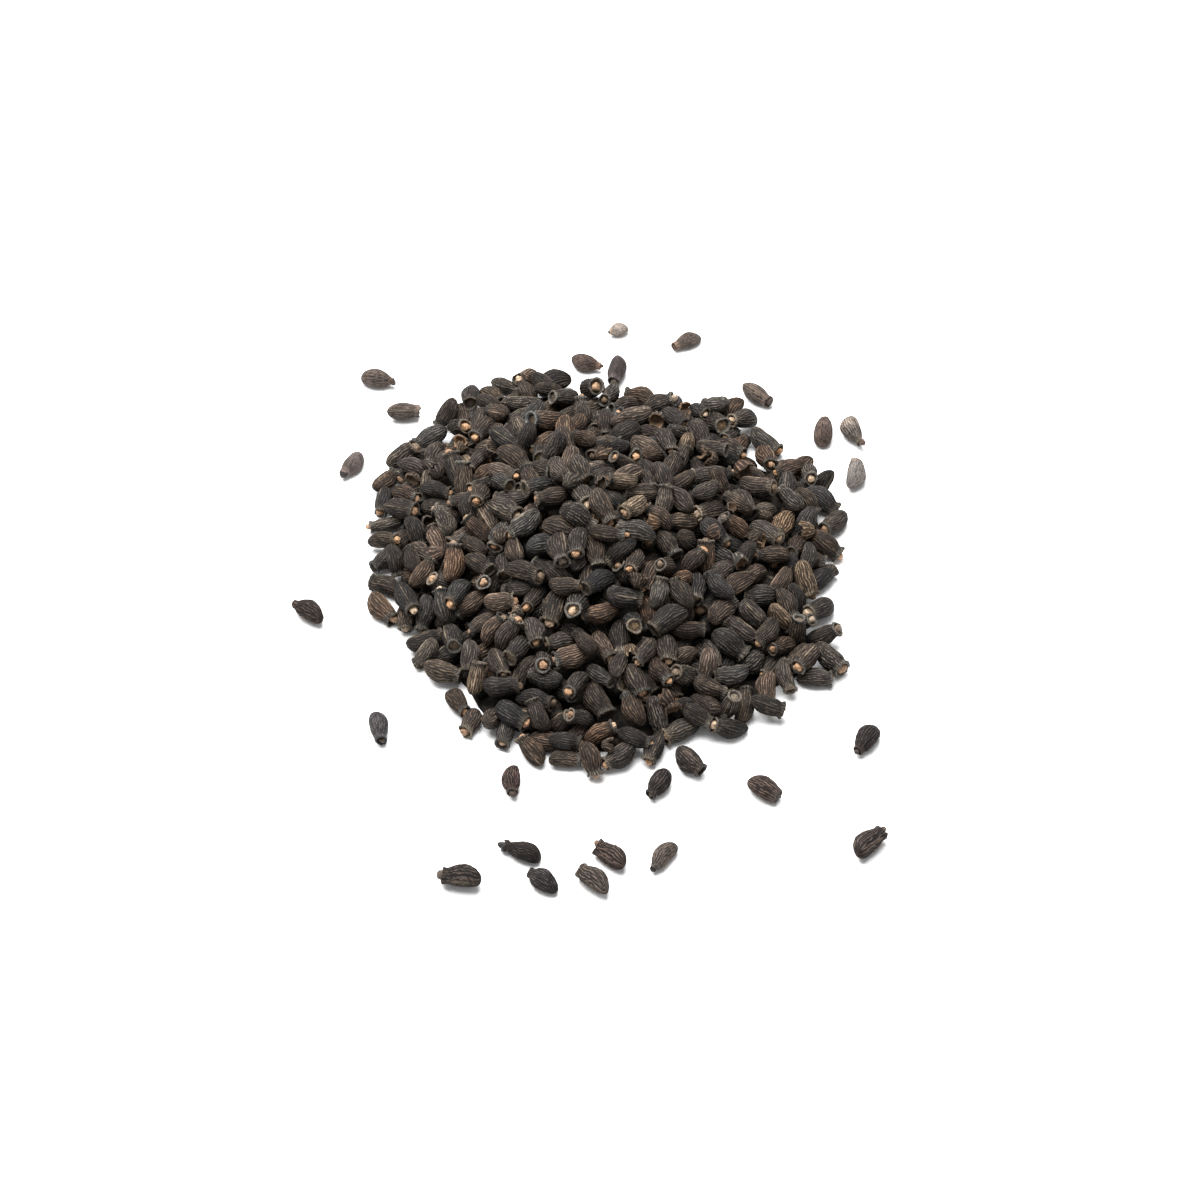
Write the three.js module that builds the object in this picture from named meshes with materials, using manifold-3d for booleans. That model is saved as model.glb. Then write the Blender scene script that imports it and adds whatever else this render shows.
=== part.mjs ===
// A heap of dried borage seeds lying loose on a flat surface, with stray seeds scattered round it.
// Millimetres and degrees, +Z up. The origin is the middle of the heap's flat underside.
// A seed is a ribbed nutlet: a pointed nose, a belly that is straight below and arched above, a short neck,
// and a collar round a small cup from which a pale plug sticks out.

import * as THREE from "three";
import { mergeVertices } from "three/addons/utils/BufferGeometryUtils.js";
import Module from "manifold-3d";

// ---- Driving dimensions ----

const seedLength = 4.8; // nose tip to collar lip, on a seed of middling size
const seedWidth = 2.75;
const seedDepth = 2.6; // from the straight belly to the arched back
const plugReach = 0.4; // how far the pale plug sticks out past the lip
const seedSizes = { smallest: 0.86, largest: 1.1 };
const seedGirths = { slimmest: 0.92, fattest: 1.06 };

const heapHeight = 14.5;
const fringeHeight = 2.2; // the heap thins out to one seed at its edge
const summit = new THREE.Vector2(-1.5, 1.5); // the highest point, off the middle
const outlineRadii = [
  31.5, 34, 34.5, 32.5, 36, 33.5, 32.5, 38, 38.5, 35, 35.5, 33, 31.5, 32.5, 29.5, 31, 33.5, 33.5, 34.5, 32.5,
  33, 33.5, 35.5, 31,
]; // reach of the heap at even steps round the compass, from +X towards +Y
const unevenness = 0.7; // height of the heap's low humps and dips

const layerDepth = 2.7; // depth of one layer of seeds
const looseLayers = 2; // the layers that are laid seed by seed
const bedding = 0.1; // how far a seed beds down into its neighbours' ribs
const siteSpacing = 2.0; // spacing of the places where seeds are dropped
const siteJitter = 0.7;
const roughness = 0.6; // unevenness of the wanted surface from one place to the next
const dropGap = 1.35; // a place this far below the heap's wanted surface gets one more seed
const highestPerch = 1.5; // how far a seed may stand above the wanted surface
const steepestTilt = 62;
const settlingSteps = [1.2, 0.9, 0.9, 0.6, 0.6, 0.4, 0.4, 0.25, 0.15]; // the shifts of a seed as it settles
const turnPerStep = 22; // and its turn in degrees for each millimetre of shift
const outlineSlack = 0.4; // how far a seed may poke out of the outline
const strayClearance = 1.9; // gap kept between a seed of the heap and the middle line of a stray

const coreDepth = 0.9; // the solid core lies this far below the tops of the laid seeds
const cellSize = 0.6; // of the grid that tells which seeds show from above
const leastShown = 6.2; // a seed is fused on if this much of it shows from above, in square millimetres
const grip = 1.5; // no seed's middle stands higher than this above the core, so that each is fused to it
const coreReach = 3.2; // the core's height is worked out from the seeds within this distance
const coreEdge = 1.0; // thickness of the core at its edge
const coreInset = 2; // how far the core's edge lies inside the heap's outline
const smallestEdge = 0.15; // slivers finer than this are smoothed away where seeds meet
const coreSectors = 24;
const coreRings = 7;

// Stray seeds: where each lies, the way its collar points, its roll about its own length, and its size.
const strays = [
  { at: [1.9, 45.1], heading: -160, roll: 0, size: 0.6, pale: true },
  { at: [11.6, 42.9], heading: -151, roll: 20, size: 0.92 },
  { at: [-2.9, 38.2], heading: -20, roll: -30, size: 0.93 },
  { at: [1.8, 36.9], heading: -101, roll: 85, size: 1.06 },
  { at: [-32.2, 35.2], heading: -14, roll: 10, size: 0.98 },
  { at: [-28.3, 28.7], heading: 2, roll: -60, size: 0.92 },
  { at: [21.1, 32.3], heading: -43, roll: 50, size: 1.0 },
  { at: [30.2, 25.0], heading: 83, roll: 170, size: 1.0 },
  { at: [34.2, 25.0], heading: -71, roll: 30, size: 1.05, pale: true },
  { at: [-34.7, 19.0], heading: -123, roll: 60, size: 0.95 },
  { at: [34.3, 16.6], heading: 79, roll: 0, size: 0.96, pale: true },
  { at: [-39.2, -7.5], heading: 149, roll: -80, size: 1.0 },
  { at: [-29.1, -26.8], heading: -80, roll: -85, size: 0.98 },
  { at: [-12.1, -35.3], heading: -87, roll: 15, size: 0.92 },
  { at: [6.9, -35.9], heading: -122, roll: -20, size: 1.0 },
  { at: [10.6, -32.5], heading: -48, roll: 30, size: 0.94 },
  { at: [19.9, -36.6], heading: -38, roll: 0, size: 0.97 },
  { at: [33.4, -28.7], heading: -122, roll: 40, size: 1.0 },
  { at: [32.6, -45.4], heading: 43, roll: 150, size: 1.02 },
  { at: [7.0, -47.0], heading: -124, roll: -70, size: 1.0 },
  { at: [0.8, -47.2], heading: 142, roll: 135, size: 0.95 },
  { at: [-1.3, -51.0], heading: 139, roll: 175, size: 1.0 },
  { at: [-7.8, -51.0], heading: 142, roll: 0, size: 0.92 },
  { at: [-10.4, -46.4], heading: 157, roll: 20, size: 1.02 },
  { at: [-17.9, -50.5], heading: 177, roll: 165, size: 1.02 },
];

// The sections of a seed: place along its length from the nose at 0 to the lip at 1, share of the full half
// width, and drop of the section's middle towards the straight belly as a share of the half depth.
const heapSeedProfile = [
  [0, 0, 0.5],
  [0.34, 0.98, 0],
  [1, 0.74, 0.14],
  [1, 0, 0.14],
];
const straySeedProfile = [
  [0, 0, 0.5],
  [0.16, 0.66, 0.2],
  [0.46, 1, 0],
  [0.84, 0.66, 0.18],
  [1, 0.78, 0.12], // the lip of the collar
  [0.9, 0.34, 0.12], // the floor of the cup
  [1 + plugReach / seedLength, 0, 0.12], // the tip of the plug
];
const heapSeedSides = 5;
const heapSeedTwist = 0.5; // turn of every other ring of corners, as a share of a side
const straySeedSides = 6;
const facetAllowance = 1.02; // a few flat sides enclose less than the round seed, so they stand a little proud

// The round places along a seed that bear on other seeds: position along the length, and share of the half width.
const bearings = [
  [0.22, 0.72],
  [0.42, 0.96],
  [0.62, 0.92],
  [0.84, 0.72],
];

// ---- Helpers ----

const { degToRad: radians, lerp } = THREE.MathUtils;
const rounded = (value) => Math.round(value * 1000) / 1000;

// Numbers from 0 to 1 that come in the same order every time.
function repeatableRandom(start) {
  let state = start;
  return () => {
    state = (Math.imul(state, 1664525) + 1013904223) >>> 0;
    return state / 4294967296;
  };
}

// ---- The heap's wanted surface ----

// Reach of the heap in a direction, eased between the outline's radii.
function reach(angle) {
  const count = outlineRadii.length;
  const place = (((angle / (2 * Math.PI)) * count) % count + count) % count;
  const before = Math.floor(place);
  const share = (1 - Math.cos((place - before) * Math.PI)) / 2;
  return outlineRadii[before % count] * (1 - share) + outlineRadii[(before + 1) % count] * share;
}

// How far out a point is: 0 at the summit, 1 at the outline.
function outwardness(x, y) {
  const plain = Math.hypot(x, y) / reach(Math.atan2(y, x));
  const lean = Math.max(0, 1 - plain);
  const dx = x - summit.x * lean;
  const dy = y - summit.y * lean;
  return Math.hypot(dx, dy) / reach(Math.atan2(dy, dx));
}

// Height of the heap's surface: a poured cone with a round top that thins out to the fringe, with low humps.
function surfaceHeight(x, y) {
  const out = Math.min(1, outwardness(x, y));
  const rise = (1 - out ** 1.5) ** 1.5;
  const humps = Math.sin(0.31 * x + 0.17 * y + 1) + Math.sin(-0.19 * x + 0.36 * y + 2) + Math.sin(0.43 * x - 0.29 * y);
  return fringeHeight + (heapHeight - fringeHeight) * rise + (unevenness / 2) * humps * (1 - out);
}

const bedHeight = (x, y) => Math.max(0, surfaceHeight(x, y) - looseLayers * layerDepth);

// ---- Laying the seeds ----

// The places where seeds may be dropped: a jittered triangular grid inside the outline.
function dropSites(random) {
  const sites = [];
  const rows = Math.ceil(Math.max(...outlineRadii) / siteSpacing);
  for (let row = -rows; row <= rows; row++) {
    for (let column = -rows; column <= rows; column++) {
      const x = (column + (row % 2) / 2) * siteSpacing + siteJitter * (random() - 0.5);
      const y = row * siteSpacing * 0.866 + siteJitter * (random() - 0.5);
      const wanted = surfaceHeight(x, y) + roughness * (random() - 0.5);
      const room = reach(Math.atan2(y, x)) - Math.hypot(x, y);
      if (room > seedWidth / 2) sites.push({ x, y, wanted, top: bedHeight(x, y) });
    }
  }
  return sites;
}

// A seed's bearing balls at a pose, as offsets from its middle.
function ballsOf(seed, pose) {
  const level = Math.cos(pose.tilt);
  const along = [level * Math.cos(pose.heading), level * Math.sin(pose.heading), Math.sin(pose.tilt)];
  return bearings.map(([place, girth]) => {
    const shift = (place - 0.5) * seedLength * seed.size;
    return {
      x: pose.x + shift * along[0],
      y: pose.y + shift * along[1],
      lift: shift * along[2],
      radius: (girth * seedWidth * seed.girth) / 2,
    };
  });
}

// Distance from a point to the middle line of the nearest stray seed.
function strayDistance(x, y) {
  const distances = strays.map(({ at, heading, size }) => {
    const half = (seedLength * size) / 2;
    const along = new THREE.Vector2(Math.cos(radians(heading)), Math.sin(radians(heading)));
    const offset = new THREE.Vector2(x - at[0], y - at[1]);
    const reached = THREE.MathUtils.clamp(offset.dot(along), -half, half);
    return offset.addScaledVector(along, -reached).length();
  });
  return Math.min(...distances);
}

// Height at which a seed's middle comes to rest on the bed and on the balls of the seeds laid before it,
// and how far it pokes out of the outline or crowds a stray.
function rest(seed, pose, laidBalls) {
  let height = 0;
  let overshoot = 0;
  for (const ball of ballsOf(seed, pose)) {
    const room = reach(Math.atan2(ball.y, ball.x)) - Math.hypot(ball.x, ball.y);
    overshoot = Math.max(overshoot, ball.radius - room);
    if (room < seedLength) {
      overshoot = Math.max(overshoot, strayClearance + ball.radius - strayDistance(ball.x, ball.y));
    }
    height = Math.max(height, bedHeight(ball.x, ball.y) + ball.radius - ball.lift);
    for (const other of laidBalls) {
      const sum = ball.radius + other.radius;
      const gap = sum * sum - (ball.x - other.x) ** 2 - (ball.y - other.y) ** 2;
      if (gap > 0) height = Math.max(height, other.z + Math.sqrt(gap) - ball.lift);
    }
  }
  return { height, overshoot, cost: height + 2 * Math.max(0, overshoot - outlineSlack) };
}

// Lets a dropped seed roll, turn and tip into the lowest place near by.
function settle(seed, start, laidBalls) {
  let best = start;
  let lowest = rest(seed, start, laidBalls).cost;
  for (const step of settlingSteps) {
    const turn = radians(turnPerStep * step);
    const moves = [[step, 0, 0, 0], [-step, 0, 0, 0], [0, step, 0, 0], [0, -step, 0, 0]];
    moves.push([0, 0, turn, 0], [0, 0, -turn, 0], [0, 0, 0, turn], [0, 0, 0, -turn]);
    let chosen = best;
    for (const [dx, dy, dHeading, dTilt] of moves) {
      const pose = {
        x: best.x + dx,
        y: best.y + dy,
        heading: best.heading + dHeading,
        tilt: best.tilt + dTilt,
      };
      const { cost } = rest(seed, pose, laidBalls);
      if (cost < lowest - 1e-4) {
        lowest = cost;
        chosen = pose;
      }
    }
    best = chosen;
  }
  const pose = { x: rounded(best.x), y: rounded(best.y), heading: rounded(best.heading), tilt: rounded(best.tilt) };
  const { height, overshoot } = rest(seed, pose, laidBalls);
  return { ...pose, z: rounded(height - bedding), overshoot };
}

// Lays seeds where the heap is furthest below its wanted surface, until no place is left that takes one.
function layHeap() {
  const random = repeatableRandom(2718);
  const sites = dropSites(random);
  const seeds = [];
  const balls = [];
  for (;;) {
    const site = sites.reduce((a, b) => (b.wanted - b.top > a.wanted - a.top ? b : a));
    if (site.wanted - site.top < dropGap) break;
    const size = lerp(seedSizes.smallest, seedSizes.largest, random());
    const girth = size * lerp(seedGirths.slimmest, seedGirths.fattest, random());
    const seed = { size, girth, roll: rounded(2 * Math.PI * random()) };
    const heading = 2 * Math.PI * random();
    const tilt = radians(steepestTilt) * (random() + random() - 1);
    const near = balls.filter((ball) => Math.hypot(ball.x - site.x, ball.y - site.y) < 2 * seedLength);
    const pose = settle(seed, { x: site.x, y: site.y, heading, tilt }, near);
    const perch = pose.z + seedWidth / 2 - surfaceHeight(pose.x, pose.y);
    if (perch > highestPerch || pose.overshoot > outlineSlack) {
      site.wanted -= layerDepth / 2;
      continue;
    }
    seeds.push({ ...seed, ...pose });
    for (const { x, y, lift, radius } of ballsOf(seed, pose)) {
      const ball = { x, y, z: pose.z + lift, radius };
      balls.push(ball);
      for (const other of sites) {
        const gap = radius * radius - (other.x - x) ** 2 - (other.y - y) ** 2;
        if (gap > 0) other.top = Math.max(other.top, ball.z + Math.sqrt(gap));
      }
    }
  }
  return seeds;
}

// What is seen from straight above: a fine grid of cells, each with the height of its topmost seed.
function skyline(seeds) {
  const cells = new Map();
  const cellAt = (column, row) => {
    const key = column + " " + row;
    if (!cells.has(key)) {
      const [x, y] = [column * cellSize, row * cellSize];
      cells.set(key, { x, y, top: bedHeight(x, y), seed: -1 });
    }
    return cells.get(key);
  };
  seeds.forEach((seed, index) => {
    for (const { x, y, lift, radius } of ballsOf(seed, seed)) {
      for (let column = Math.ceil((x - radius) / cellSize); column * cellSize < x + radius; column++) {
        for (let row = Math.ceil((y - radius) / cellSize); row * cellSize < y + radius; row++) {
          const cell = cellAt(column, row);
          const gap = radius * radius - (cell.x - x) ** 2 - (cell.y - y) ** 2;
          if (gap < 0 || seed.z + lift + Math.sqrt(gap) < cell.top) continue;
          cell.top = seed.z + lift + Math.sqrt(gap);
          cell.seed = index;
        }
      }
    }
  });
  return [...cells.values()];
}

// Height of the core under the laid seeds: a set depth below their mean top near by.
function coreHeight(x, y, cells) {
  const near = cells.filter((cell) => Math.hypot(cell.x - x, cell.y - y) < coreReach);
  const meanTop = near.reduce((sum, cell) => sum + cell.top, 0) / Math.max(1, near.length);
  return Math.max(coreEdge, meanTop - coreDepth);
}

// ---- Solids ----

const wasm = await Module();
wasm.setup();

// A closed three.js geometry as a solid: shared corners merged, and faces that have no area left out.
function solidOf(geometry) {
  const bare = new THREE.BufferGeometry()
    .setAttribute("position", geometry.getAttribute("position"))
    .setIndex(geometry.index);
  const merged = mergeVertices(bare, 1e-3);
  const corners = merged.index.array;
  const kept = [];
  for (let i = 0; i < corners.length; i += 3) {
    const [a, b, c] = corners.slice(i, i + 3);
    if (a !== b && b !== c && c !== a) kept.push(a, b, c);
  }
  return new wasm.Manifold(
    new wasm.Mesh({
      numProp: 3,
      vertProperties: merged.getAttribute("position").array,
      triVerts: new Uint32Array(kept),
    }),
  );
}

function geometryOf(solid) {
  const mesh = solid.getMesh();
  return new THREE.BufferGeometry()
    .setAttribute("position", new THREE.BufferAttribute(mesh.vertProperties, 3))
    .setIndex(new THREE.BufferAttribute(mesh.triVerts, 1));
}

// The outer shell of a solid: loose scraps and the shells of sealed hollows are left out.
function mainShell(solid) {
  return solid.decompose().reduce((a, b) => (b.volume() > a.volume() ? b : a));
}

// A seed with its length along X, its collar towards +X and its straight belly below. Every other ring of
// corners can be turned by a share of a side, so that few sides still look round.
function seedGeometry(profile, sides, twist, size, girth) {
  const outline = profile.map(([along, width]) => new THREE.Vector2(width, along - 0.5));
  const geometry = new THREE.LatheGeometry(outline, sides);
  const position = geometry.getAttribute("position");
  for (let i = 0; i < position.count; i++) {
    const section = i % profile.length;
    const drop = profile[section][2];
    const turn = (section % 2) * twist * ((2 * Math.PI) / sides);
    const angle = Math.atan2(position.getX(i), position.getZ(i)) - turn;
    const width = Math.hypot(position.getX(i), position.getZ(i)) * facetAllowance;
    position.setXYZ(
      i,
      position.getY(i) * seedLength * size,
      (-width * Math.sin(angle) * seedWidth * girth) / 2,
      ((width * Math.cos(angle) - drop) * seedDepth * girth) / 2,
    );
  }
  return geometry;
}

// A solid with its underside made flat again, after smoothing has lifted some of its lowest corners.
function flattened(solid) {
  const geometry = geometryOf(solid);
  const position = geometry.getAttribute("position");
  for (let i = 0; i < position.count; i++) {
    if (position.getZ(i) < smallestEdge) position.setZ(i, 0);
  }
  return solidOf(geometry);
}

// The heap's core: a mound whose height follows the laid seeds, flat underneath.
function coreGeometry(cells) {
  const profile = [new THREE.Vector2(0, 0), new THREE.Vector2(1, 0)];
  for (let ring = coreRings; ring >= 0; ring--) profile.push(new THREE.Vector2(ring / coreRings, 1));
  const geometry = new THREE.LatheGeometry(profile, coreSectors).rotateX(Math.PI / 2);
  const position = geometry.getAttribute("position");
  for (let i = 0; i < position.count; i++) {
    const angle = Math.atan2(position.getY(i), position.getX(i));
    const out = Math.hypot(position.getX(i), position.getY(i)) * (reach(angle) - coreInset);
    const x = out * Math.cos(angle);
    const y = out * Math.sin(angle);
    const underside = position.getZ(i) < 0.5;
    position.setXYZ(i, x, y, underside ? 0 : coreHeight(x, y, cells));
  }
  return geometry;
}

// The core with the seeds that show fused on, out to the heap's uneven edge.
function heapSolid() {
  const seeds = layHeap();
  const cells = skyline(seeds);
  const shownArea = (index) => cells.filter((cell) => cell.seed === index).length * cellSize ** 2;
  const showing = seeds.filter((_, index) => shownArea(index) >= leastShown);
  const pieces = showing.map((seed) => {
    const geometry = seedGeometry(heapSeedProfile, heapSeedSides, heapSeedTwist, seed.size, seed.girth);
    const height = Math.min(seed.z, coreHeight(seed.x, seed.y, cells) + grip);
    geometry.rotateX(seed.roll).rotateY(-seed.tilt).rotateZ(seed.heading).translate(seed.x, seed.y, height);
    geometry.computeBoundingBox();
    return solidOf(geometry.translate(0, 0, Math.max(0, -geometry.boundingBox.min.z)));
  });
  const fused = mainShell(wasm.Manifold.union([solidOf(coreGeometry(cells)), ...pieces])).simplify(smallestEdge);
  return mainShell(flattened(fused));
}

// A stray seed with its collar, cup and plug, lying on the surface.
function strayGeometry(stray) {
  const geometry = seedGeometry(straySeedProfile, straySeedSides, 0, stray.size, stray.size);
  geometry.rotateX(radians(stray.roll)).rotateZ(radians(stray.heading));
  geometry.computeBoundingBox();
  geometry.translate(stray.at[0], stray.at[1], -geometry.boundingBox.min.z);
  return geometryOf(solidOf(geometry));
}

// ---- Materials ----

const darkHull = new THREE.MeshStandardMaterial({ color: 0x463f3a, roughness: 0.85, metalness: 0 });
const paleHull = new THREE.MeshStandardMaterial({ color: 0xa0948a, roughness: 0.9, metalness: 0 });

// ---- The part ----

const part = new THREE.Group();

const heap = new THREE.Mesh(geometryOf(heapSolid()), darkHull);
heap.name = "seed_heap";
part.add(heap);

strays.forEach((stray, index) => {
  const mesh = new THREE.Mesh(strayGeometry(stray), stray.pale ? paleHull : darkHull);
  mesh.name = "stray_seed_" + String(index + 1).padStart(2, "0");
  part.add(mesh);
});

export default part;
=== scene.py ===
import math
import bpy
import numpy as np
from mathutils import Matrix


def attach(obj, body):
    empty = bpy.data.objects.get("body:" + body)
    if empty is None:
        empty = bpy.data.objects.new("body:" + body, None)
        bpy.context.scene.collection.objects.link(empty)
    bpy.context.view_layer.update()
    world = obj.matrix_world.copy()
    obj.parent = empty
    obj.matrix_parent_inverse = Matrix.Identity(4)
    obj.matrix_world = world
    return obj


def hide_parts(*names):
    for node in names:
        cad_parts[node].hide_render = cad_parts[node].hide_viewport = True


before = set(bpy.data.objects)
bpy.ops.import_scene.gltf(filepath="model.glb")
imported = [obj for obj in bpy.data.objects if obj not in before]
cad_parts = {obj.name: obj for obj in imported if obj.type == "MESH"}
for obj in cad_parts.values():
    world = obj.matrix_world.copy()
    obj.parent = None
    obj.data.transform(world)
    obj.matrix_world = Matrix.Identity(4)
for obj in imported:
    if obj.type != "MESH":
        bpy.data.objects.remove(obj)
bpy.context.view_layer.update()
print("frame loaded:", len(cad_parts), "nodes")

# A loose heap of dried borage seeds with stray seeds round it. Lengths are in mm until a mesh is made.

metresPerMm = 0.001

seedSize = {"length": 4.8, "width": 2.75, "depth": 2.6}  # nose to lip, across, and belly to back


# Where the seeds lie
heap = {
    "height": 14.5,
    "fringeHeight": 2.2,      # the heap thins out to one seed at its edge
    "summit": (-1.5, 1.5),
    "outlineRadii": (31.5, 34, 34.5, 32.5, 36, 33.5, 32.5, 38, 38.5, 35, 35.5, 33, 31.5, 32.5, 29.5, 31,
                     33.5, 33.5, 34.5, 32.5, 33, 33.5, 35.5, 31),
    "unevenness": 0.7,
    "layerDepth": 2.7,
    "looseLayers": 2,
    "bedding": 0.1,           # how far a seed beds down into its neighbours' ribs
    "siteSpacing": 2.0,
    "siteJitter": 0.7,
    "roughness": 0.6,
    "dropGap": 1.35,          # a place this far below the wanted surface gets one more seed
    "highestPerch": 1.5,
    "steepestTilt": math.radians(62),
    "settlingSteps": (1.2, 0.9, 0.9, 0.6, 0.6, 0.4, 0.4, 0.25, 0.15),
    "turnPerStep": math.radians(22),
    "outlineSlack": 0.4,
    "strayClearance": 1.9,
    "sizes": (0.86, 1.1), "plumpness": (0.92, 1.06),    # smallest and largest
    "firstDraw": 2718,
    "turnedRound": 0.5,       # share of the seeds pointing away that are turned round
}

# the round places of a seed that bear on others: place along the length, and share of the half width
bearings = np.array([(0.22, 0.72), (0.42, 0.96), (0.62, 0.92), (0.84, 0.72)])

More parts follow.
